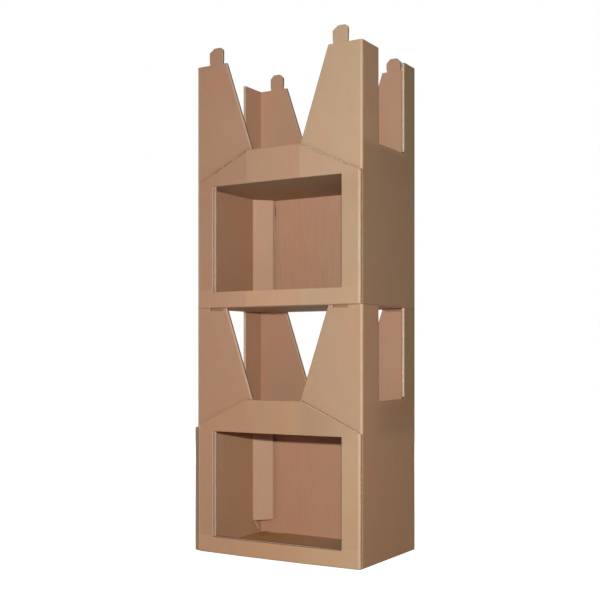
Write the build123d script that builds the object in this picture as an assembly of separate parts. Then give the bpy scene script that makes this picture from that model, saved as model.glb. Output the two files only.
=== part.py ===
from build123d import *
import os

os.makedirs("parts", exist_ok=True)

# All lengths are millimetres. X runs to the right of the stand, Y to its back, Z up.
# The origin is on the floor, in the middle of the width and depth of the stand.

# Board
BOARD = 7.0
FOLD_OUT = 5.0
FIT = 1.0

# One tier, outside sizes of its folded body
TIER_H = 600.0
BODY_W = 462.0
BODY_D = 286.0

# Front panel, a second layer that stands ahead of the corner posts
FRONT_GAP = 3.0
FRONT_BOW = 5.0
FRONT_SIDE_H = 305.0
APRON_H = 377.0
WINDOW_W = 361.0
WINDOW_SHIFT = 3.5
WINDOW_LOW = 39.0
WINDOW_HEAD = 2.0
WINDOW_R = 2.0
FREE_END_INSET = 16.0
END_FLAP = 30.0

# Corner posts, whose inner edges slope away from each other to their tops
APRON_W = 150.0
POST_FOOT_GAP = 135.0
POST_TOP_W = 88.0
SIDE_CUT_W = 140.0
SIDE_CUT_SHIFT = 9.0
RELIEF_R = 3.0

# Locking tabs on the post tops
TAB_W = 39.0
TAB_NECK_W = 37.0
TAB_NECK_H = 4.0
TAB_H = 40.0
SHORT_TAB_H = 32.0
TAB_SHOULDER_DROP = 10.0
TAB_SMALL_DROP = 5.0
TAB_CREST_W = 18.0
TAB_CREST_SHIFT = 4.0
TAB_FROM_SIDE = 57.0
TAB_TOP_R = 4.0

# Shelf tray
SHELF_DROP = 5.0
SHELF_LIP_H = 43.0

# Liner with its two diagonal end strips
STRIP_LEG = 39.0
STRIP_CLEAR = 14.0
STRIP_BOTTOM = 43.0

# Floor panel
FLOOR_FLAP_H = 28.0
FLOOR_FLAP_W = 280.0

# Levels that follow from the sizes above
FRONT_STEP = BOARD + FRONT_GAP
DEPTH = BODY_D + FRONT_STEP + FRONT_BOW
Y_BACK = DEPTH / 2
Y_POST = Y_BACK - BODY_D
Y_FRONT = Y_POST - FRONT_STEP
Y_CREST = Y_FRONT - FRONT_BOW
HALF_W = BODY_W / 2
APRON_X = APRON_W / 2
TAB_X = HALF_W - TAB_FROM_SIDE
FREE_END_X = FREE_END_INSET - HALF_W
SHELF_Z = FRONT_SIDE_H - SHELF_DROP
WINDOW_TOP = SHELF_Z - WINDOW_HEAD
WINDOW_LEFT = WINDOW_SHIFT - WINDOW_W / 2
WINDOW_RIGHT = WINDOW_SHIFT + WINDOW_W / 2
LINER_HALF = HALF_W - BOARD - FIT


def block(x0, x1, y0, y1, z0, z1):
    size = Box(x1 - x0, y1 - y0, z1 - z0)
    return Pos((x0 + x1) / 2, (y0 + y1) / 2, (z0 + z1) / 2) * size


def front_plate(points, y0, y1):
    # A flat panel with its outline in X and Z, between two Y planes.
    outline = make_face(Polyline(*[(x, z) for x, z in points], close=True))
    plane = Plane(origin=(0, y1, 0), x_dir=(1, 0, 0), z_dir=(0, -1, 0))
    return extrude(plane * outline, y1 - y0)


def standing(points, height):
    # A folded sheet seen from above, raised to a height.
    return extrude(make_face(Polyline(*points, close=True)), height)


def upright(solid, x, y):
    # The vertical edges of a solid that pass through one point of the plan.
    edges = solid.edges().filter_by(Axis.Z)
    return [e for e in edges if abs(e.center().X - x) < 0.05 and abs(e.center().Y - y) < 0.05]


def tab_outline(middle, root, height, uneven):
    # A narrow neck, straight sides and a crest between two sloping shoulders.
    # An uneven tab has its crest to the right of its middle, over the smaller shoulder.
    neck = TAB_NECK_W / 2
    wide = TAB_W / 2
    foot = [(neck, root), (neck, TIER_H + TAB_NECK_H), (wide, TIER_H + 2 * TAB_NECK_H)]
    top = TIER_H + height
    shift = TAB_CREST_SHIFT if uneven else 0
    drop = TAB_SMALL_DROP if uneven else TAB_SHOULDER_DROP
    right = [(middle + x, z) for x, z in foot]
    right += [(middle + wide, top - drop), (middle + shift + TAB_CREST_W / 2, top)]
    left = [(middle + shift - TAB_CREST_W / 2, top), (middle - wide, top - TAB_SHOULDER_DROP)]
    left += [(middle - x, z) for x, z in reversed(foot)]
    return right + left


def free_tab(middle, outer_y, inward, height):
    # A tab that stands straight up from its post.
    y0, y1 = sorted((outer_y, outer_y + inward * BOARD))
    tab = front_plate(tab_outline(middle, TIER_H - BOARD, height, outer_y < 0), y0, y1)
    levels = tab.edges().filter_by(Axis.Y).group_by(Axis.Z)
    return fillet(levels[-1] + levels[-2], TAB_TOP_R)


def locked_tab(middle, outer_y, inward):
    # A tab pressed inwards by the wall of the tier that stands on it.
    shift = inward * (BOARD + FIT / 2)
    straight = free_tab(middle, outer_y + shift, inward, TAB_H)
    above = block(middle - TAB_W, middle + TAB_W, -DEPTH, DEPTH, TIER_H, TIER_H + 2 * TAB_H)
    low = TIER_H - BOARD
    thick = inward * BOARD
    slope = [(outer_y, low), (outer_y + shift, TIER_H), (outer_y + shift + thick, TIER_H),
             (outer_y + thick, low)]
    plane = Plane(origin=(middle - TAB_NECK_W / 2, 0, 0), x_dir=(0, 1, 0), z_dir=(1, 0, 0))
    jog = extrude(plane * make_face(Polyline(*slope, close=True)), TAB_NECK_W)
    return (straight & above) + jog


def make_body(flap_outside, tabs_locked):
    # Left post, left wall, back wall, right wall, right post and front panel are one sheet.
    # Its folds are round outside and scored to a sharp line inside.
    middle_y = (Y_POST + Y_BACK) / 2
    ring = RectangleRounded(BODY_W, BODY_D, FOLD_OUT)
    ring -= Rectangle(BODY_W - 2 * BOARD, BODY_D - 2 * BOARD)
    body = Pos(0, middle_y, 0) * extrude(ring, TIER_H)

    top = TIER_H + 1
    foot_x = POST_FOOT_GAP / 2
    top_x = HALF_W - POST_TOP_W
    over_x = top_x + (top_x - foot_x) / (TIER_H - APRON_H)
    notch = [(-foot_x, APRON_H), (foot_x, APRON_H), (over_x, top), (-over_x, top)]
    body -= front_plate(notch, -DEPTH, DEPTH)

    # The same cut in both side walls, turned half a turn about the middle of the stand.
    for side in (-1, 1):
        x0, x1 = sorted((side * (HALF_W - 2 * BOARD), side * (HALF_W + BOARD)))
        cut_y = middle_y + side * SIDE_CUT_SHIFT
        half_cut = SIDE_CUT_W / 2
        body -= block(x0, x1, cut_y - half_cut, cut_y + half_cut, APRON_H, top)
        relief = Cylinder(RELIEF_R, 3 * BOARD, rotation=(0, 90, 0))
        body -= Pos(side * HALF_W, cut_y + side * half_cut, APRON_H) * relief

    inside = HALF_W - BOARD
    under = FRONT_SIDE_H + (APRON_H - FRONT_SIDE_H) * BOARD / (HALF_W - APRON_X)
    below = [(-inside, -1), (inside, -1), (inside, under), (APRON_X, APRON_H),
             (-APRON_X, APRON_H), (-inside, under)]
    body -= front_plate(below, Y_POST - 1, Y_POST + 2 * BOARD)

    outer = [(HALF_W, Y_POST + BOARD), (HALF_W, Y_FRONT), (APRON_X, Y_CREST), (-APRON_X, Y_CREST),
             (FREE_END_X, Y_FRONT)]
    inner = [(FREE_END_X, Y_FRONT + BOARD), (-APRON_X, Y_CREST + BOARD),
             (APRON_X, Y_CREST + BOARD), (inside, Y_FRONT + BOARD), (inside, Y_POST + BOARD)]
    if flap_outside:
        turned = [(-HALF_W - BOARD, Y_POST + FIT), (-HALF_W - BOARD, Y_POST + END_FLAP),
                  (-HALF_W, Y_POST + END_FLAP), (-HALF_W, Y_POST + BOARD / 2)]
        inner[0] = (FREE_END_X + BOARD / 2, Y_FRONT + BOARD)
        outer = outer + turned
    panel = standing(outer + inner, APRON_H)
    panel = fillet(upright(panel, HALF_W, Y_FRONT), FOLD_OUT)
    wide = HALF_W + 2 * BOARD
    house = [(-wide, 0), (wide, 0), (wide, FRONT_SIDE_H), (HALF_W, FRONT_SIDE_H),
             (APRON_X, APRON_H), (-APRON_X, APRON_H), (-HALF_W, FRONT_SIDE_H), (-wide, FRONT_SIDE_H)]
    panel &= front_plate(house, -DEPTH, DEPTH)
    window = block(WINDOW_LEFT, WINDOW_RIGHT, -DEPTH, Y_POST, WINDOW_LOW, WINDOW_TOP)
    window = fillet(window.edges().filter_by(Axis.Y), WINDOW_R)
    panel -= window
    body += panel
    if not flap_outside:
        hem = FREE_END_X + END_FLAP
        body += block(FREE_END_X, hem, Y_FRONT + BOARD / 2, Y_POST, 0, SHELF_Z)

    for side in (-1, 1):
        for outer_y, inward in ((Y_POST, 1), (Y_BACK, -1)):
            if tabs_locked:
                low = TIER_H - BOARD
                reach = TAB_NECK_W / 2 + FIT
                y0, y1 = sorted((outer_y - inward, outer_y + inward * (BOARD + 1)))
                x = side * TAB_X
                body -= block(x - reach, x + reach, y0, y1, low, top)
                body += locked_tab(x, outer_y, inward)
            else:
                height = SHORT_TAB_H if side > 0 > inward else TAB_H
                body += free_tab(side * TAB_X, outer_y, inward, height)
    return body


def make_liner():
    # Front with its window, two sides and the diagonal end strips that brace the back corners.
    far = Y_BACK - BOARD - STRIP_CLEAR
    turn = far - STRIP_LEG
    tip = LINER_HALF - BOARD - STRIP_LEG
    half_lap = BOARD * (2 ** 0.5 - 1)
    across = BOARD / 2 ** 0.5
    outer = [(LINER_HALF, Y_POST), (LINER_HALF, turn + half_lap)]
    outer += [(tip + across, far + across)]
    inner = [(tip, far), (LINER_HALF - BOARD, turn), (LINER_HALF - BOARD, Y_POST + BOARD)]
    right = outer + inner
    left = [(-x, y) for x, y in reversed(right)]
    liner = standing(right + left, SHELF_Z)
    for x in (-LINER_HALF, LINER_HALF):
        liner = fillet(upright(liner, x, Y_POST), FOLD_OUT)
    y1 = Y_POST + BOARD + 1
    liner -= block(WINDOW_LEFT, WINDOW_RIGHT, Y_POST - 1, y1, WINDOW_LOW, SHELF_Z + 1)
    for side in (-1, 1):
        x0, x1 = sorted((side * (tip - BOARD), side * (LINER_HALF + 1)))
        liner -= block(x0, x1, turn, Y_BACK, -1, STRIP_BOTTOM)
    return liner


def make_shelf():
    # A tray with its rim turned up: the front rim fills the space under the two front posts.
    reach = HALF_W - BOARD - FIT
    back = Y_BACK - BOARD - FIT
    shelf = block(-reach, reach, Y_POST, back, SHELF_Z, SHELF_Z + BOARD)
    rim_top = SHELF_Z + BOARD + SHELF_LIP_H
    for side in (-1, 1):
        x0, x1 = sorted((side * (reach - BOARD), side * reach))
        shelf += block(x0, x1, Y_POST + BOARD + FIT, back - BOARD - FIT, SHELF_Z, rim_top)
    rim_x = reach - BOARD - FIT
    shelf += block(-rim_x, rim_x, back - BOARD, back, SHELF_Z, rim_top)
    drop = 2 * FIT
    top = APRON_H - drop
    slope = (APRON_H - FRONT_SIDE_H) / (HALF_W - APRON_X)
    side_x = reach - BOARD
    side_top = APRON_H - slope * (side_x - APRON_X) - drop
    front = [(-side_x, SHELF_Z), (side_x, SHELF_Z), (side_x, side_top), (APRON_X, top),
             (-APRON_X, top), (-side_x, side_top)]
    shelf += front_plate(front, Y_POST, Y_POST + BOARD)
    low = shelf.edges().filter_by(GeomType.LINE).group_by(Axis.Z)[0]
    shelf = fillet(low, BOARD / 2)
    relief = BOARD + FIT
    for side in (-1, 1):
        x0, x1 = sorted((side * (reach - BOARD), side * (reach + 1)))
        shelf -= block(x0, x1, Y_POST - 1, Y_POST + relief, SHELF_Z - 1, rim_top)
        shelf -= block(x0, x1, back - relief, back + 1, SHELF_Z - 1, rim_top)
    return shelf


def make_floor():
    # A panel with a glue flap at its front, notched where the tabs of a lower tier come up.
    reach = LINER_HALF - BOARD - FIT
    front = Y_POST + BOARD
    back = Y_BACK - BOARD
    floor = block(-reach, reach, front, back, 0, BOARD)
    half = FLOOR_FLAP_W / 2
    floor += block(-half, half, front, front + BOARD, 0, FLOOR_FLAP_H)
    slot = TAB_W / 2 + FIT
    deep = BOARD + 2 * FIT
    for side in (-1, 1):
        x = side * TAB_X
        floor -= block(x - slot, x + slot, front - 1, front + deep, -1, BOARD + 1)
        floor -= block(x - slot, x + slot, back - deep, back + 1, -1, BOARD + 1)
    return floor


def save(name, solid, height):
    placed = Pos(0, 0, height) * solid
    placed.label = name
    export_step(placed, f"parts/{name}.step")


liner = make_liner()
shelf = make_shelf()
floor = make_floor()

save("lower_body", make_body(True, True), 0)
save("lower_liner", liner, 0)
save("lower_shelf_tray", shelf, 0)
save("lower_floor_panel", floor, 0)
save("upper_body", make_body(False, False), TIER_H)
save("upper_liner", liner, TIER_H)
save("upper_shelf_tray", shelf, TIER_H)
save("upper_floor_panel", floor, TIER_H)
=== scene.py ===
import math

import bpy
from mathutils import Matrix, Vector


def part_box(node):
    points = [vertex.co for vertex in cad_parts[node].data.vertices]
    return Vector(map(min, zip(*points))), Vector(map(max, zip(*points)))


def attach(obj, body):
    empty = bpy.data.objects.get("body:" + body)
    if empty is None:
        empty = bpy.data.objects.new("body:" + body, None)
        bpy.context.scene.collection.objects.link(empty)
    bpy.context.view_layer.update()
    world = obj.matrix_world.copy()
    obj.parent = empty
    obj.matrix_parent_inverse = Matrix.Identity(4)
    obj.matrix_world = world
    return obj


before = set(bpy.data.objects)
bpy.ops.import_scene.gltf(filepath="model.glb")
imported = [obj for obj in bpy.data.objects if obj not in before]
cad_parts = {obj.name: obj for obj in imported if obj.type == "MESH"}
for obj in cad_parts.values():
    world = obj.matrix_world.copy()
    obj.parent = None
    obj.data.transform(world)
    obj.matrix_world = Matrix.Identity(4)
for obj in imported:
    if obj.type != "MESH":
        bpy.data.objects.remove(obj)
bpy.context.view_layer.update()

# Lengths are millimetres in the materials below, and metres where a mesh or an object is placed
MM = 0.001

# The stand, as the frame holds it
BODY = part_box("upper_body")
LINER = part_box("lower_liner")
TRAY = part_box("lower_shelf_tray")
TIER = BODY[0].z / MM
HALF_W = BODY[1].x / MM
Y_CREST = BODY[0].y / MM
Y_BACK = BODY[1].y / MM
Y_POST = LINER[0].y / MM
Y_MIDDLE = (Y_POST + Y_BACK) / 2
HALF_D = (Y_BACK - Y_POST) / 2
LINER_HALF = LINER[1].x / MM
TRAY_HALF = TRAY[1].x / MM
TRAY_BACK = TRAY[1].y / MM
SHELF_Z = TRAY[0].z / MM

# The board and its folds
BOARD = 7.0
FOLD = 5.0
BOW = 5.0
END_FLAP = 30.0
FREE_END_INSET = 16.0
FREE_END = HALF_W - FREE_END_INSET

# The cuts of a tier, from its foot and its middle
APRON_X = 75.0
APRON_H = 377.0
FRONT_SIDE_H = 305.0
WINDOW_LOW = 39.0
POST_FOOT = 67.5
POST_TOP_W = 88.0
POST_TOP = HALF_W - POST_TOP_W
SIDE_CUT_REAR = 86.5

# The diagonal strips at the back corners
STRIP_LEG = 39.0
STRIP_CLEAR = 14.0
STRIP_BOTTOM = 43.0
STRIP_TURN = Y_BACK - BOARD - STRIP_CLEAR - STRIP_LEG
BRACE_END = STRIP_LEG + BOARD - LINER_HALF - 1.0
BULGE_Z = SHELF_Z - 27.0

# How close to a face a point still counts as on it, and how wide the end flap's turn is
HAIR = 0.1
AT_POST = 1.0
AT_REAR = 0.6
AT_OUTSIDE = 1.2
PANEL_CLEAR = 1.5
FLAP_TURN = 11.2
SILL = (WINDOW_LOW - 0.6, WINDOW_LOW + 1.0)

# The cut edge, by depth from the outer face: three papers, with a row of flutes in each gap.
# A row is its pitch, its middle depth, its height and half its paper's thickness.
SKIN = 0.45
OUTER_PAPER = 1.0
MIDDLE_PAPER = (2.9, 3.6)
INNER_PAPER = 6.3
FLUTE = 6.6
FLUTE_ROWS = ((FLUTE, 4.95, 1.2, 0.45), (FLUTE * 0.78, 1.75, 1.0, 0.42))
CRUSHED = 2.6
PULP = 0.7
CUT_RELIEF = 0.8

# The shade on the inner part of a cut edge: its depth, its softness and how dark it is.
# On the slopes of the posts it starts sooner and is darker.
SHADED_FROM = 4.6
SHADED_SOFT = 0.8
SHADED = 0.40
SLOPE_SHADED_SOONER = 2.4
SLOPE_SHADED = 0.85

# How strongly the paper's unevenness shows, as shares of its lightness and of its relief
CLOUDS = 0.06
PATCHES = 0.06
GRAIN = 0.05
STREAKS = 0.05
WALL_STREAKS = 0.20
STREAK_RELIEF = 0.10
GRAIN_RELIEF = 0.08
FLUTE_RELIEF = 0.012

# The finish of the board, and the parts of a normal with which a face counts as turned or tilted
EDGE_ROUND = 2.4
ROUGHNESS = 0.78
SHEEN = 0.25
RELIEF = 0.5
RELIEF_DEPTH = 0.5
TURNED = 0.6
TILTED = 0.4
TO_FRONT = (0.0, -1.0, 0.0)

# The torn scrap of paper: how long, wide and thick it is, how it curls and leans, and where it hangs
SCRAP_LONG = 30.0
SCRAP_WIDE = 4.2
SCRAP_THICK = 0.5
SCRAP_CURL = 60.0
SCRAP_LEAN = 30.0
SCRAP_TURN = -15.0
SCRAP_AT = (-214.0, 104.0, 30.0)

# The studio, in metres and watts
FLOOR_SIDE = 14.0
FLOOR_GREY = 0.64
NEAR_GLOW = 0.86
NEAR_REACH = 0.9
ROOM_LIGHT = 0.06
ROOM_COLOUR = (1.0, 0.96, 0.92)
KEY_HEIGHT = 0.627
KEY_AIM = (0.0, 0.0, 0.6)
KEY_POWER = 56.0
KEY_SIZE = 0.05
FILL_AT = (-1.6, 2.4, 1.5)
FILL_AIM = (0.0, 0.15, 0.6)
FILL_POWER = 45.0
FILL_SIZE = 1.6

# The camera, solved from the photo's straight edges, with the photo's own pixels for its lens
CAMERA_AT = (1.3061, -2.1961, 0.4829)
CAMERA_TURN = math.radians(31.021)
SENSOR = 36.0
PHOTO_PX = 600
FOCAL_PX = 1026.45
HORIZON_PX = 355.77

# Paper colours, and the colours of painted shade, shadow and highlight, as linear values
CUT_PAPER = (0.800, 0.600, 0.440)
FLUTE_HOLLOW_SHADE = (0.370, 0.215, 0.128)
SHADED_CUT = (0.120, 0.075, 0.048)
FIBRE = (0.230, 0.125, 0.070)
# Lighter fold crowns, partly worn paper and partly a painted highlight; also the pale paper of torn burrs
# and flecks
HIGHLIGHT_AND_TORN_PAPER = (0.620, 0.430, 0.300)
# Dark lines: painted shade at the foot and beside the front right fold, and the darkened sills and the
# upper panel's diagonal lines
DARK_LINE = (0.230, 0.120, 0.070)
GAP_SHADE = (0.120, 0.066, 0.040)
SLOPE_HIGHLIGHT = (0.590, 0.385, 0.255)
RED_SHADOW_LINE = (0.300, 0.140, 0.095)
RIM_PAPER = (0.700, 0.465, 0.290)
LINER_SIDE = (0.408, 0.226, 0.132)
LINER_SIDE_FRONT = (0.392, 0.228, 0.134)
LINER_FACE = (0.497, 0.321, 0.215)
TRAY_FACE = (0.378, 0.238, 0.138)
FLOOR_FACE = (0.540, 0.368, 0.218)
FLOOR_CORNER_SHADE = (0.490, 0.272, 0.119)

# The faces of each tier's body as the photo shows them, partly the paper's own tone and partly painted
# light and shade, how strongly two marks show on it, and how softly its panel changes tone at the right end
# of its middle
UPPER = {
    "post_left": (0.434, 0.252, 0.158),
    "post_right": (0.483, 0.334, 0.214),
    "panel_left": (0.416, 0.241, 0.151),
    "panel_middle": (0.440, 0.265, 0.165),
    "panel_right": (0.452, 0.304, 0.196),
    "side": (0.318, 0.192, 0.108),
    "flange": (0.390, 0.242, 0.144),
    "back": (0.464, 0.272, 0.174),
    "rear_left": (0.520, 0.318, 0.204),
    "rear_right": (0.486, 0.296, 0.192),
    "flange_inside": (0.500, 0.300, 0.190),
    "wall_streaks": 1.4,
    "below_side_cut": 0.3,
    "panel_turn": 0.2,
}
LOWER = {
    "post_left": (0.424, 0.247, 0.152),
    "post_right": (0.420, 0.276, 0.174),
    "panel_left": (0.444, 0.255, 0.150),
    "panel_middle": (0.430, 0.254, 0.147),
    "panel_right": (0.450, 0.296, 0.176),
    "side": (0.363, 0.207, 0.112),
    "flange": (0.374, 0.214, 0.120),
    "back": (0.476, 0.266, 0.167),
    "rear_left": (0.440, 0.252, 0.158),
    "rear_right": (0.450, 0.268, 0.172),
    "flange_inside": (0.430, 0.252, 0.150),
    "wall_streaks": 0.45,
    "below_side_cut": 1.0,
    "panel_turn": 110.0,
}

# What each colour channel keeps where the tone changes: the redder patches are the paper's own, and the
# others are partly painted light and shade
REDDER = (1.03, 0.965, 0.94)
BELOW_SIDE_CUT = (0.84, 0.83, 0.80)
REAR_FLANGE = (0.74, 0.83, 0.75)
UPPER_STILE = (0.92, 0.93, 0.90)
LOWER_APRON = (0.84, 0.84, 0.86)
LOWER_WALL = (1.09, 1.13, 1.09)


def feed(tree, socket, value):
    """A node's socket gets a field, another node's output or a plain value."""
    if isinstance(value, Field):
        value = value.socket
    if isinstance(value, bpy.types.NodeSocket):
        tree.links.new(value, socket)
    elif socket.type == "RGBA":
        socket.default_value = (*value, 1.0)
    else:
        socket.default_value = value


def work_out(tree, node, values):
    """A node's open sockets get the values in their order, and its open output comes back."""
    open_sockets = [socket for socket in node.inputs if socket.enabled]
    for socket, value in zip(open_sockets, values):
        feed(tree, socket, value)
    return next(socket for socket in node.outputs if socket.enabled)


class Field:
    """A number that varies over a board: one socket of a node tree, with plain arithmetic."""

    def __init__(self, tree, socket):
        self.tree = tree
        self.socket = socket

    def work(self, operation, *others):
        node = self.tree.nodes.new("ShaderNodeMath")
        node.operation = operation
        return Field(self.tree, work_out(self.tree, node, (self, *others)))

    def __add__(self, other):
        return self.work("ADD", other)

    def __sub__(self, other):
        return self.work("SUBTRACT", other)

    def __mul__(self, other):
        return self.work("MULTIPLY", other)

    def __neg__(self):
        return self * -1.0

    def __abs__(self):
        return self.work("ABSOLUTE")

    def above(self, edge, soft=0.2):
        """0 below the edge and 1 above it, over a soft step."""
        node = self.tree.nodes.new("ShaderNodeMapRange")
        node.interpolation_type = "SMOOTHSTEP"
        feed(self.tree, node.inputs["Value"], self)
        feed(self.tree, node.inputs["From Min"], edge - soft / 2)
        feed(self.tree, node.inputs["From Max"], edge + soft / 2)
        return Field(self.tree, node.outputs["Result"])

    def below(self, edge, soft=0.2):
        return self.above(edge, soft).flip()

    def between(self, low, high, soft=0.2):
        return self.above(low, soft) * self.below(high, soft)

    def flip(self):
        return -self + 1.0

    def spread(self, low, high):
        """A field from 0 to 1 laid out from low to high."""
        return self * (high - low) + low

    def largest(self, other):
        return self.work("MAXIMUM", other)

    def smallest(self, other):
        return self.work("MINIMUM", other)

    def blend(self, other, share):
        """This field where share is 0, and the other where it is 1."""
        return self + (other - self) * share


class Sheet:
    """The node tree of one board, with the fields that every board needs."""

    def __init__(self, name, foot=0.0):
        self.material = bpy.data.materials.new(name)
        self.material.use_nodes = True
        self.tree = self.material.node_tree
        self.shader = self.tree.nodes["Principled BSDF"]
        coordinates = self.tree.nodes.new("ShaderNodeTexCoord")
        self.place = coordinates.outputs["Object"]
        x, y, z = self.parts(self.place)
        self.x = x * (1 / MM)
        self.y = y * (1 / MM)
        self.z = z * (1 / MM) - foot
        self.wide = abs(self.x)
        facing = self.parts(coordinates.outputs["Normal"])
        self.face_x, self.face_y, self.face_z = (abs(part) for part in facing)
        self.level = self.face_z.above(TURNED)

    def parts(self, socket):
        """The three parts of a place or a direction, each a field."""
        split = self.tree.nodes.new("ShaderNodeSeparateXYZ")
        feed(self.tree, split.inputs[0], socket)
        return [Field(self.tree, part) for part in split.outputs]

    def noise(self, size, seed, wide=1.0, tall=1.0, detail=3.0, rough=0.6):
        """Noise from 0 to 1 with grains of a size in millimetres, drawn out across or upwards."""
        moved = self.tree.nodes.new("ShaderNodeMapping")
        moved.inputs["Scale"].default_value = (1 / wide, 1.0, 1 / tall)
        moved.inputs["Location"].default_value = (seed, seed * 0.7, seed * 0.3)
        feed(self.tree, moved.inputs["Vector"], self.place)
        node = self.tree.nodes.new("ShaderNodeTexNoise")
        node.inputs["Scale"].default_value = 1 / (size * MM)
        node.inputs["Detail"].default_value = detail
        node.inputs["Roughness"].default_value = rough
        feed(self.tree, node.inputs["Vector"], moved.outputs[0])
        return Field(self.tree, node.outputs["Fac"])

    def vector(self, operation, *values):
        """One step of arithmetic on a colour or a direction."""
        node = self.tree.nodes.new("ShaderNodeVectorMath")
        node.operation = operation
        return work_out(self.tree, node, values)

    def mix(self, under, over, share, kind="RGBA"):
        """A colour or a direction laid over another by a share from 0 to 1."""
        node = self.tree.nodes.new("ShaderNodeMix")
        node.data_type = kind
        return work_out(self.tree, node, (share, under, over))

    def tint(self, colour, amount):
        """A colour made lighter or darker by a field about 1."""
        return self.vector("SCALE", colour, amount)

    def dim(self, colour, kept, share):
        """A colour of which each channel keeps its own part where share is 1."""
        return self.mix(colour, self.vector("MULTIPLY", colour, kept), share)

    def near(self, x, y, z, reach, soft):
        """1 close to one point of the board and 0 away from it."""
        dx, dy, dz = self.x - x, self.y - y, self.z - z
        return (dx * dx + dy * dy + dz * dz).work("SQRT").below(reach, soft)

    def cut_face(self, depth):
        """1 on the cut edges: what lies between the board's two outer papers, and all level faces."""
        return depth.between(SKIN, BOARD - SKIN).largest(self.level)


def wave(field, period):
    return (field * (2 * math.pi / period)).work("SINE")


def fold_depth(across, inward, fold):
    """How deep a point lies in a board that turns round one rounded corner of the plan."""
    out_x = across.largest(0.0)
    out_y = inward.largest(0.0)
    reach = (out_x * out_x + out_y * out_y).work("SQRT")
    inside = across.largest(inward).smallest(0.0)
    return -(reach + inside) + fold


# The paper and the cut edge, which every board has
def paper_face(sheet, colour, along, wall_streaks=None):
    """The face of the board: soft clouds, redder patches, fibres and a few upright streaks."""
    clouds = sheet.noise(120.0, seed=1.0, rough=0.55)
    patches = sheet.noise(26.0, seed=5.0, tall=2.2)
    streaks = sheet.noise(5.5, seed=2.0, tall=14.0, detail=2.0)
    grain = sheet.noise(1.4, seed=4.0, tall=2.0, detail=2.0)
    streaky = STREAKS
    if wall_streaks is not None:
        streaky = wall_streaks.spread(STREAKS, STREAKS + WALL_STREAKS)
    amount = clouds * CLOUDS + patches * PATCHES + grain * GRAIN + (streaks - 0.5) * streaky
    colour = sheet.tint(colour, amount + (1.0 - (CLOUDS + PATCHES + GRAIN) / 2))
    redder = sheet.noise(60.0, seed=6.0, tall=1.8).above(0.52, soft=0.3)
    height = streaks * STREAK_RELIEF + grain * GRAIN_RELIEF + wave(along, FLUTE) * FLUTE_RELIEF
    return sheet.dim(colour, REDDER, redder), height


def edge_shade(depth):
    """How far the inner part of a cut edge falls into shade."""
    return depth.above(SHADED_FROM, SHADED_SOFT) * SHADED


def cut_edge(sheet, colour, height, depth, along, cut, shade):
    """The cut edge of double-wall board laid over its face: papers and flutes, ragged and part crushed,
    with painted shade in the hollows between the flutes.
    """
    solid = depth.below(OUTER_PAPER).largest(depth.between(*MIDDLE_PAPER)).largest(depth.above(INNER_PAPER))
    for pitch, middle, swing, half_thick in FLUTE_ROWS:
        row = wave(along, pitch) * swing + middle
        solid = solid.largest(abs(depth - row).below(half_thick))
    ragged = sheet.noise(3.0, seed=3.0, detail=2.0)
    pulp = depth.below(CRUSHED, soft=0.8).largest(ragged.above(0.54)) * PULP
    filled = solid.largest(pulp)
    edge = sheet.tint(sheet.mix(FLUTE_HOLLOW_SHADE, CUT_PAPER, filled), ragged.spread(0.92, 1.08))
    edge = sheet.mix(edge, SHADED_CUT, shade * sheet.face_x.above(0.7, soft=0.1))
    relief = (filled * cut).spread(-CUT_RELIEF / 2, CUT_RELIEF / 2)
    return sheet.mix(colour, edge, cut), height.blend(relief, cut)


def rim_in_face(sheet, normal, flat_rim):
    """A normal that leans to the front on a rim, so that the rim takes the light as the face does."""
    geometry = sheet.tree.nodes.new("ShaderNodeNewGeometry")
    leaning = sheet.vector("ADD", geometry.outputs["Normal"], TO_FRONT)
    return sheet.mix(normal, sheet.vector("NORMALIZE", leaning), flat_rim, "VECTOR")


def finish_board(sheet, colour, height, flat_rim=None):
    """The board's shader, with its edges worn round to the light and its relief as bump."""
    worn = sheet.tree.nodes.new("ShaderNodeBevel")
    worn.samples = 6
    worn.inputs["Radius"].default_value = EDGE_ROUND * MM
    normal = worn.outputs[0]
    if flat_rim is not None:
        normal = rim_in_face(sheet, normal, flat_rim)
    bump = sheet.tree.nodes.new("ShaderNodeBump")
    bump.inputs["Strength"].default_value = RELIEF
    bump.inputs["Distance"].default_value = RELIEF_DEPTH * MM
    feed(sheet.tree, bump.inputs["Height"], height)
    feed(sheet.tree, bump.inputs["Normal"], normal)
    feed(sheet.tree, sheet.shader.inputs["Normal"], bump.outputs[0])
    feed(sheet.tree, sheet.shader.inputs["Base Color"], colour)
    sheet.shader.inputs["Roughness"].default_value = ROUGHNESS
    sheet.shader.inputs["Specular IOR Level"].default_value = SHEEN
    return sheet.material


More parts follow.
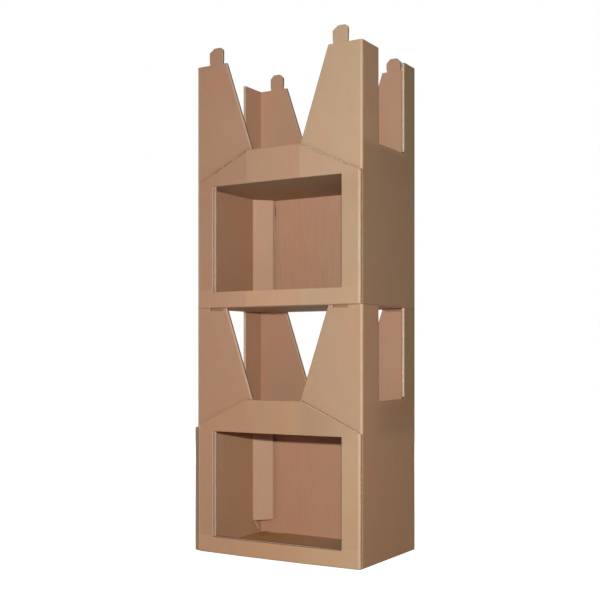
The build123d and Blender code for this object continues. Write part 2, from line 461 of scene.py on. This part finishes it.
# The folded body of each tier
class Body(Sheet):
    """A body's node tree, with the fields that tell its walls, posts and front panel apart."""

    def __init__(self, name, foot):
        super().__init__(name, foot)
        self.upper = foot > 0.0
        self.right = self.x.above(0.0)
        self.left = self.right.flip()
        self.ahead = self.y.below(Y_POST - PANEL_CLEAR, soft=0.4)
        self.front = self.y.below(Y_POST + AT_POST)
        self.rear = self.y.above(Y_BACK - BOARD - AT_REAR)
        self.inside = self.y.below(Y_BACK - AT_OUTSIDE)
        self.above_tray = self.z.above(SHELF_Z + BOARD)
        bow_right = (self.x - APRON_X).largest(0.0) * (BOW / (HALF_W - APRON_X))
        bow_left = (-self.x - APRON_X).largest(0.0) * (BOW / (FREE_END - APRON_X))
        self.panel_y = bow_right + bow_left + Y_CREST
        self.off_middle = abs(self.y - Y_MIDDLE)
        # Blotchy noise that breaks up the fold highlight, the painted shade along the foot and beside the
        # front right fold, and the sill's darkening
        self.blotchy = self.noise(7.0, seed=9.0, tall=5.0, rough=0.65)

    def depth_in_board(self):
        """How deep a point lies in the ring of walls and posts, or in the panel ahead of it."""
        across = self.wide - (HALF_W - FOLD)
        ring = fold_depth(across, self.off_middle - (HALF_D - FOLD), FOLD)
        panel = fold_depth(across, (self.panel_y + FOLD) - self.y, FOLD)
        return ring.blend(panel, self.ahead)

    def along_board(self):
        """The way along the board: across the stand, and from front to back in its side walls."""
        side = self.wide.above(HALF_W - BOARD + HAIR) * (self.ahead * self.left).flip()
        return self.x.blend(self.y, side)

    def over_diagonal(self):
        """How far a point lies over the panel's diagonal edges, square to them."""
        fall = (APRON_H - FRONT_SIDE_H) / (HALF_W - APRON_X)
        past_apron = (self.wide - APRON_X).largest(0.0)
        return (past_apron * fall + self.z - APRON_H) * (1 / math.hypot(1.0, fall))

    def off_slope(self):
        """How far a point lies outside the slopes of the posts, square to them."""
        rise = (POST_TOP - POST_FOOT) / (TIER - APRON_H)
        return (self.wide - POST_FOOT - (self.z - APRON_H) * rise) * (1 / math.hypot(1.0, rise))


def end_flap(body, depth, cut):
    """The lower panel's end flap turns round the left wall, and its turn is paper and no cut edge."""
    beyond = body.x.below(-HALF_W - 2 * HAIR)
    flap = body.x.below(FLAP_TURN - HALF_W) * body.y.between(Y_CREST, Y_POST + END_FLAP - 3 * HAIR)
    papered = flap * beyond.largest(body.y.below(Y_POST + 8 * HAIR)) * body.level.flip()
    return depth.blend(-body.x - HALF_W, beyond), cut * papered.flip()


def body_tones(body, paper):
    """The tone of each face of a body, partly its own colour and partly painted light and shade, and where
    it dims towards an edge.
    """
    high = body.z.above(APRON_H - 4.0, soft=26.0)
    below_cut = body.z.between(FRONT_SIDE_H - 10.0, APRON_H, soft=40.0) * body.y.above(-40.0, soft=120.0)
    colour = body.mix(paper["side"], paper["flange"], high)
    colour = body.dim(colour, BELOW_SIDE_CUT, below_cut * paper["below_side_cut"])
    colour = body.dim(colour, REAR_FLANGE, high * body.y.above(SIDE_CUT_REAR - 3.0))
    zones = (
        ("back", body.rear),
        ("rear_left", body.rear * body.above_tray * body.left),
        ("rear_right", body.rear * (body.above_tray * body.right).largest(body.inside.flip())),
        ("flange_inside", body.front.flip() * body.rear.flip() * body.wide.below(HALF_W - BOARD + 3.0)),
        ("post_left", body.front * body.left),
        ("post_right", body.front * body.right),
        ("panel_left", body.ahead * body.x.below(-APRON_X)),
        ("panel_middle", body.ahead * body.x.above(-APRON_X)),
        ("panel_right", body.ahead * body.x.above(APRON_X, paper["panel_turn"])),
    )
    off_sides = body.wide.below(HALF_W - AT_OUTSIDE)
    for zone, share in zones:
        colour = body.mix(colour, paper[zone], share * off_sides)
    # Painted shade on the upper panel's right part below the shelf; the lower apron is darker right of its
    # middle
    if body.upper:
        low_stile = body.x.above(APRON_X) * body.z.below(SHELF_Z - 10.0, soft=30.0)
        return body.dim(colour, UPPER_STILE, body.ahead * low_stile)
    right_of_middle = body.x.above(APRON_X, soft=50.0) * body.x.below(190.0, soft=150.0)
    apron = right_of_middle * body.z.above(SHELF_Z - 20.0, soft=30.0)
    return body.dim(colour, LOWER_APRON, body.ahead * apron)


def wall_streaks(body):
    """Where the back wall's inner face is streaky, below the tray."""
    runs = body.noise(34.0, seed=27.0, tall=3.0).above(0.50, soft=0.22)
    return body.rear * body.inside * body.above_tray.flip() * runs


def rail_light(body, colour):
    """The rail under the window takes a little more light, most at its left."""
    rail = body.z.below(WINDOW_LOW + 4.0, soft=6.0) * body.ahead
    gain = body.x.below(APRON_X, soft=110.0).spread(0.055, 0.125)
    return body.tint(colour, rail * gain + 1.0)


def worn_and_highlit_folds(body, colour):
    """The crowns of the folds made lighter, partly worn paper and partly a painted highlight. The end
    flap's fold gets less of it.
    """
    crown = FOLD + 1.5
    corner = (body.wide - (HALF_W - crown)).largest(0.0)
    in_panel = corner * body.ahead * ((body.panel_y + crown) - body.y).largest(0.0)
    in_ring = corner * (body.off_middle - (HALF_D - crown)).largest(0.0) * body.ahead.flip()
    fold = (in_panel + in_ring).above(9.0, soft=14.0)
    if not body.upper:
        fold = fold * (body.ahead * body.left * 0.8).flip()
    return body.mix(colour, HIGHLIGHT_AND_TORN_PAPER, fold * body.blotchy.spread(0.1, 1.0))


def foot_shade(body, colour):
    """Painted contact shade: the dark line along the foot, where the board stands on its cut edge."""
    line = body.z.below(1.8, soft=1.4) * body.level.flip()
    return body.mix(colour, DARK_LINE, line * body.blotchy.spread(0.1, 0.9))


def corner_gap_shade(body, colour):
    """Painted shade: the broken dark line beside the front right fold, in the seam between the front panel
    and the side wall, with its torn burrs.
    """
    line_y = Y_CREST + BOW + 4.0
    line = body.x.above(HALF_W - 0.6) * body.y.between(line_y, line_y + 3.5, soft=1.5)
    line = line * body.z.below(FRONT_SIDE_H, soft=1.0)
    burrs = body.noise(4.0, seed=15.0, tall=2.0, detail=2.0, rough=0.7).above(0.60, soft=0.08)
    colour = body.mix(colour, DARK_LINE, line * body.blotchy * 0.9)
    return body.mix(colour, HIGHLIGHT_AND_TORN_PAPER, line * burrs)


def diagonal_dark_line(body, colour):
    """The broken dark line along the upper panel's diagonal edges, with its torn flecks."""
    line = body.over_diagonal().between(-4.0, 0.6, soft=1.2) * body.ahead * body.wide.above(APRON_X)
    dots = body.noise(8.0, seed=11.0, detail=2.0)
    at_left = dots.above(0.48, soft=0.12).spread(0.15, 0.90) * body.left
    at_right = dots.above(0.52, soft=0.10).spread(0.08, 0.43) * body.right
    flecks = body.noise(4.2, seed=13.0, detail=2.0, rough=0.7).above(0.64, soft=0.05)
    colour = body.mix(colour, DARK_LINE, line * (at_left + at_right))
    return body.mix(colour, HIGHLIGHT_AND_TORN_PAPER, line * flecks * 0.8)


def slope_highlight(body, colour):
    """A painted highlight: the light strip along the slopes of the left posts, standing in for their lit
    cut edges.
    """
    strip = body.off_slope().between(-0.3, 3.4, soft=1.2) * body.z.between(APRON_H, TIER - 1.0) * body.left
    square_on = body.face_y.above(0.8) * (body.front + body.rear)
    return body.mix(colour, SLOPE_HIGHLIGHT, strip * square_on * 0.8)


def brace_shade(body, colour):
    """Painted shade in the gap on the back wall beside the left brace, widest where the upper brace bulges.
    """
    sway = body.noise(60.0, seed=23.0)
    off_brace = body.x - BRACE_END - sway * 5.0 + 1.5
    on_wall = body.rear * body.inside * body.z.between(STRIP_BOTTOM, SHELF_Z, soft=2.0)
    dark = sway * 0.28
    if body.upper:
        dark = dark + body.near(BRACE_END, Y_BACK - BOARD, BULGE_Z, reach=14.0, soft=16.0) * 0.45
    return body.mix(colour, GAP_SHADE, off_brace.between(-4.2, 0.8, soft=1.4) * on_wall * dark)


def cut_marks(body, colour):
    """The darkened top of the sill, painted shade in the nick and a painted shadow line at the rear end of
    the side cut.
    """
    sill = body.z.between(*SILL) * body.front * body.level
    nick = body.near(HALF_W - 4.0, SIDE_CUT_REAR - 1.0, APRON_H + 1.0, reach=5.0, soft=4.0)
    on_rear_end = body.y.between(SIDE_CUT_REAR - 1.0, SIDE_CUT_REAR + 2.0) * body.z.above(APRON_H)
    shadow_line = on_rear_end * body.x.between(HALF_W - BOARD - 1.0, HALF_W - BOARD + 1.2, soft=0.8)
    colour = body.mix(colour, DARK_LINE, sill * body.blotchy.spread(0.75, 1.05))
    colour = body.mix(colour, GAP_SHADE, nick)
    return body.mix(colour, RED_SHADOW_LINE, shadow_line)


def body_board(name, foot, paper):
    """The folded body: its faces, its wear and creases, and its cut edges."""
    body = Body(name, foot)
    depth = body.depth_in_board()
    along = body.along_board()
    bent_tab = body.face_y.above(TILTED) * body.face_z.above(TILTED)
    cut = body.cut_face(depth) * bent_tab.flip()
    if not body.upper:
        depth, cut = end_flap(body, depth, cut)

    streaks = wall_streaks(body) * paper["wall_streaks"]
    colour, height = paper_face(body, body_tones(body, paper), along, streaks)
    for wear in (rail_light, worn_and_highlit_folds, foot_shade, corner_gap_shade):
        colour = wear(body, colour)
    if body.upper:
        colour = diagonal_dark_line(body, colour)
    colour = brace_shade(body, slope_highlight(body, colour))

    on_slope = body.z.above(APRON_H + 2.0)
    shade_depth = depth + on_slope * SLOPE_SHADED_SOONER
    shade = shade_depth.above(SHADED_FROM, SHADED_SOFT) * on_slope.spread(SHADED, SLOPE_SHADED)
    colour, height = cut_edge(body, colour, height, depth, along, cut, shade)
    colour = cut_marks(body, colour)
    below_diagonal = body.over_diagonal().between(-6.0, 1.0)
    flat_rim = below_diagonal * body.ahead * body.wide.between(APRON_X, HALF_W - 3.0)
    colour = body.mix(colour, RIM_PAPER, flat_rim * body.level * 0.9)
    return finish_board(body, colour, height, flat_rim)


# The sheets inside each tier
def liner_board(name, foot):
    """The liner: its front with the window, its side walls and the two diagonal strips."""
    sheet = Sheet(name, foot)
    wrap = fold_depth(sheet.wide - (LINER_HALF - FOLD), -sheet.y + (Y_POST + FOLD), FOLD)
    strip_face = (LINER_HALF - BOARD + STRIP_TURN) / math.sqrt(2) + BOARD
    strip = -((sheet.wide + sheet.y) * (1 / math.sqrt(2))) + strip_face
    in_strip = sheet.y.above(STRIP_TURN + 1.0) * sheet.wide.below(LINER_HALF - 3.0)
    depth = wrap.blend(strip, in_strip)
    side = sheet.wide.above(LINER_HALF - BOARD - 4 * HAIR)
    along = sheet.x.blend(sheet.y, side)
    wall = sheet.mix(LINER_SIDE_FRONT, LINER_SIDE, sheet.y.above(20.0, soft=190.0))
    # The lower tier's liner walls are painted lighter than the upper's: painted light
    if not foot:
        wall = sheet.vector("MULTIPLY", wall, LOWER_WALL)
    colour, height = paper_face(sheet, sheet.mix(LINER_FACE, wall, side), along)
    cut = sheet.cut_face(depth)
    colour, height = cut_edge(sheet, colour, height, depth, along, cut, edge_shade(depth))
    sill = sheet.z.between(*SILL) * sheet.y.below(Y_POST + BOARD + 5 * HAIR) * sheet.level
    colour = sheet.mix(colour, DARK_LINE, sill * 0.92)
    return finish_board(sheet, colour, height)


def tray_board(name, foot):
    """The shelf tray: a plate with its rim turned up."""
    sheet = Sheet(name, foot)
    middle = (Y_POST + TRAY_BACK) / 2
    half = (TRAY_BACK - Y_POST) / 2
    depth = fold_depth(sheet.wide - TRAY_HALF, abs(sheet.y - middle) - half, 0.0)
    along = sheet.x.blend(sheet.y, sheet.wide.above(TRAY_HALF - BOARD + HAIR))
    cut = sheet.cut_face(depth) * sheet.z.above(SHELF_Z + BOARD + 2 * HAIR)
    colour, height = paper_face(sheet, TRAY_FACE, along)
    colour, height = cut_edge(sheet, colour, height, depth, along, cut, edge_shade(depth))
    return finish_board(sheet, colour, height)


def floor_board(name, foot):
    """The floor panel: a plate with a glue flap at its front, notched for the tabs."""
    sheet = Sheet(name, foot)
    plate = sheet.z.below(BOARD + HAIR)
    sideways = sheet.face_x.above(TURNED)
    cut = (plate * sheet.level.flip()).largest(plate.flip() * sheet.level.largest(sideways))
    depth = abs(sheet.y - Y_MIDDLE).blend(sheet.z, plate)
    # The floor's left corner is darker and redder: painted shade in the corner
    face = sheet.mix(FLOOR_CORNER_SHADE, FLOOR_FACE, sheet.x.above(-70.0, soft=220.0))
    colour, height = paper_face(sheet, face, sheet.x)
    scuffs = sheet.noise(38.0, seed=21.0, wide=2.5, detail=4.0, rough=0.7).above(0.62)
    colour = sheet.mix(colour, FIBRE, scuffs * 0.15)
    along = sheet.x.blend(sheet.y, sideways)
    colour, height = cut_edge(sheet, colour, height, depth, along, cut, edge_shade(depth))
    return finish_board(sheet, colour, height)


def dress(node, material):
    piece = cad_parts[node]
    piece.data.materials.clear()
    piece.data.materials.append(material)


for tier, foot, paper in (("lower", 0.0, LOWER), ("upper", TIER, UPPER)):
    dress(f"{tier}_body", body_board(f"{tier} body board", foot, paper))
    dress(f"{tier}_liner", liner_board(f"{tier} liner board", foot))
    dress(f"{tier}_shelf_tray", tray_board(f"{tier} tray board", foot))
    dress(f"{tier}_floor_panel", floor_board(f"{tier} floor board", foot))


def torn_scrap():
    """A strip of torn paper that hangs from the foot of the lower left brace."""
    bpy.ops.object.select_all(action="DESELECT")
    bpy.ops.mesh.primitive_plane_add(size=SCRAP_LONG * MM)
    scrap = bpy.context.object
    scrap.name = "lower_torn_scrap"
    bpy.ops.object.mode_set(mode="EDIT")
    bpy.ops.transform.resize(value=(SCRAP_WIDE / SCRAP_LONG, 1.0, 1.0))
    bpy.ops.mesh.subdivide(number_cuts=11)
    bpy.ops.object.mode_set(mode="OBJECT")
    curl = scrap.modifiers.new("curl", "SIMPLE_DEFORM")
    curl.deform_method = "BEND"
    curl.deform_axis = "X"
    curl.angle = math.radians(SCRAP_CURL)
    paper = scrap.modifiers.new("paper", "SOLIDIFY")
    paper.thickness = SCRAP_THICK * MM
    bpy.ops.object.modifier_apply(modifier=curl.name)
    bpy.ops.object.modifier_apply(modifier=paper.name)
    scrap.rotation_euler = (math.radians(90.0 + SCRAP_LEAN), 0.0, math.radians(SCRAP_TURN))
    scrap.location = [part * MM for part in SCRAP_AT]
    bpy.ops.object.transform_apply(location=True, rotation=True, scale=True)
    sheet = Sheet("torn scrap paper")
    colour, height = paper_face(sheet, CUT_PAPER, sheet.z)
    scrap.data.materials.append(finish_board(sheet, colour, height))
    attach(scrap, "root")


torn_scrap()


# The studio: its floor and air are white to the eye and pale to the light
def seen_directly(tree):
    """1 for what the camera sees, straight or in a mirror or through glass, and 0 for other light."""
    path = tree.nodes.new("ShaderNodeLightPath")
    camera = Field(tree, path.outputs["Is Camera Ray"])
    glossy = Field(tree, path.outputs["Is Glossy Ray"])
    through = Field(tree, path.outputs["Is Transmission Ray"])
    return camera.largest(glossy).largest(through)


def floor_paint(name):
    """A matte floor that keeps the stand's shadow, with a glow that is fullest away from the stand."""
    material = bpy.data.materials.new(name)
    material.use_nodes = True
    tree = material.node_tree
    tree.nodes.clear()
    reach = tree.nodes.new("ShaderNodeVectorMath")
    reach.operation = "LENGTH"
    feed(tree, reach.inputs[0], tree.nodes.new("ShaderNodeTexCoord").outputs["Object"])
    far = Field(tree, reach.outputs["Value"]).above(NEAR_REACH, NEAR_REACH)
    glow = tree.nodes.new("ShaderNodeEmission")
    feed(tree, glow.inputs["Strength"], (far * (1.0 - NEAR_GLOW) + NEAR_GLOW) * seen_directly(tree))
    matte = tree.nodes.new("ShaderNodeBsdfDiffuse")
    feed(tree, matte.inputs["Color"], (FLOOR_GREY, FLOOR_GREY, FLOOR_GREY))
    both = tree.nodes.new("ShaderNodeAddShader")
    feed(tree, both.inputs[0], matte.outputs[0])
    feed(tree, both.inputs[1], glow.outputs[0])
    out = tree.nodes.new("ShaderNodeOutputMaterial")
    feed(tree, out.inputs[0], both.outputs[0])
    return material


def studio_floor():
    bpy.ops.object.select_all(action="DESELECT")
    bpy.ops.mesh.primitive_plane_add(size=FLOOR_SIDE, location=(0, 0, -0.5 * MM))
    ground = bpy.context.object
    ground.name = "studio_floor"
    ground.data.materials.append(floor_paint("studio floor white"))


def studio_air():
    world = bpy.data.worlds.new("studio")
    bpy.context.scene.world = world
    world.use_nodes = True
    tree = world.node_tree
    room = tree.nodes["Background"]
    feed(tree, room.inputs["Color"], ROOM_COLOUR)
    feed(tree, room.inputs["Strength"], ROOM_LIGHT)
    white = tree.nodes.new("ShaderNodeBackground")
    feed(tree, white.inputs["Color"], (1.0, 1.0, 1.0))
    both = tree.nodes.new("ShaderNodeMixShader")
    feed(tree, both.inputs[0], seen_directly(tree))
    feed(tree, both.inputs[1], room.outputs[0])
    feed(tree, both.inputs[2], white.outputs[0])
    feed(tree, tree.nodes["World Output"].inputs[0], both.outputs[0])


def lamp(name, place, aim, power, size):
    data = bpy.data.lights.new(name, "AREA")
    data.shape = "DISK"
    data.size = size
    data.energy = power
    light = bpy.data.objects.new(name, data)
    bpy.context.scene.collection.objects.link(light)
    light.location = place
    light.rotation_euler = (Vector(aim) - Vector(place)).to_track_quat("-Z", "Y").to_euler()


def photo_camera():
    """A camera at the photo's place, level, with its lens shifted to the photo's horizon."""
    data = bpy.data.cameras.new("camera")
    data.sensor_width = SENSOR
    data.lens = SENSOR * FOCAL_PX / PHOTO_PX
    data.shift_y = (HORIZON_PX - PHOTO_PX / 2) / PHOTO_PX
    camera = bpy.data.objects.new("camera", data)
    camera.location = CAMERA_AT
    camera.rotation_euler = (math.radians(90), 0, CAMERA_TURN)
    bpy.context.scene.collection.objects.link(camera)
    bpy.context.scene.camera = camera
    bpy.context.scene.view_settings.view_transform = "Standard"


studio_floor()
studio_air()
lamp("key", (CAMERA_AT[0], CAMERA_AT[1], KEY_HEIGHT), KEY_AIM, KEY_POWER, KEY_SIZE)
lamp("back fill", FILL_AT, FILL_AIM, FILL_POWER, FILL_SIZE)
photo_camera()
